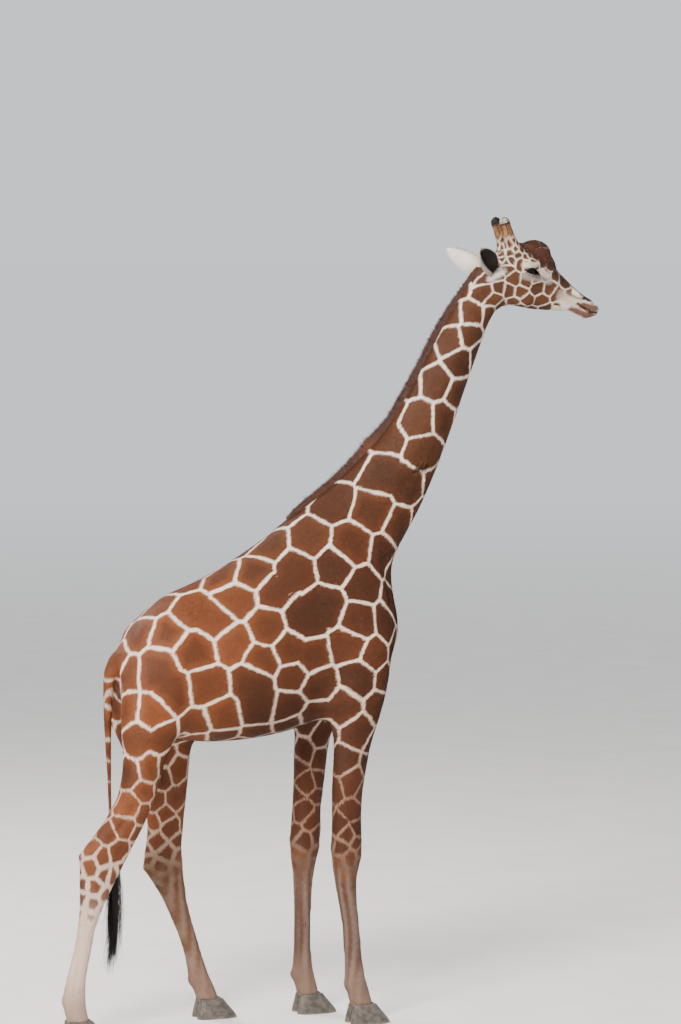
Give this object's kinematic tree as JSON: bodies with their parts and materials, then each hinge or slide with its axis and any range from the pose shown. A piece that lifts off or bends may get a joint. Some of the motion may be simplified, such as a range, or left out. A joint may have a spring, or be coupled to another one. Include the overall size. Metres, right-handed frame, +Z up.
{
  "type": "life-size reticulated giraffe model",
  "caption": "Adult male reticulated giraffe standing in mid-step, neck raised forward, patched coat, short mane, long black tail tuft.",
  "frame": {"origin": "on the floor, under the middle of the bounding box", "axes": "+X the way the giraffe faces, +Y to its left, +Z up"},
  "size_m": [3.4578, 0.7834, 4.7875],
  "materials": {
    "coat_body": "short glossy hair in chestnut patches between cream lines",
    "coat_neck": "short glossy hair in dark chestnut patches between cream lines",
    "coat_head": "short hair with small brown spots and a grey-white muzzle",
    "coat_leg": "short hair, patched above the knee and hock, pale grey-beige below",
    "coat_tail": "short hair with brown patches and pale bars",
    "mane": "stiff upright hair, reddish dark brown",
    "tail_tuft": "long coarse black hair",
    "ear": "short pale hair, darker inside",
    "ossicone": "haired horn skin with a bald worn top",
    "eye": "wet dark brown cornea",
    "hoof": "dark grey horn, fine lengthwise grain"
  },
  "bodies": {
    "root": {"trunk": "coat_body", "neck": "coat_neck", "head": "coat_head", "fore_right_upper": "coat_leg", "fore_right_lower": "coat_leg", "fore_left_upper": "coat_leg", "fore_left_lower": "coat_leg", "hind_right_upper": "coat_leg", "hind_right_lower": "coat_leg", "hind_left_upper": "coat_leg", "hind_left_lower": "coat_leg", "hoof_fore_right_outer": "hoof", "hoof_fore_right_inner": "hoof", "hoof_fore_left_outer": "hoof", "hoof_fore_left_inner": "hoof", "hoof_hind_right_outer": "hoof", "hoof_hind_right_inner": "hoof", "hoof_hind_left_outer": "hoof", "hoof_hind_left_inner": "hoof", "mane_upper": "mane", "mane_lower": "mane", "tail": "coat_tail", "tail_tuft": "tail_tuft", "ear_right": "ear", "ear_left": "ear", "ossicone_right": "ossicone", "ossicone_left": "ossicone", "eye_right": "eye", "eye_left": "eye"}
  },
  "joints": []
}
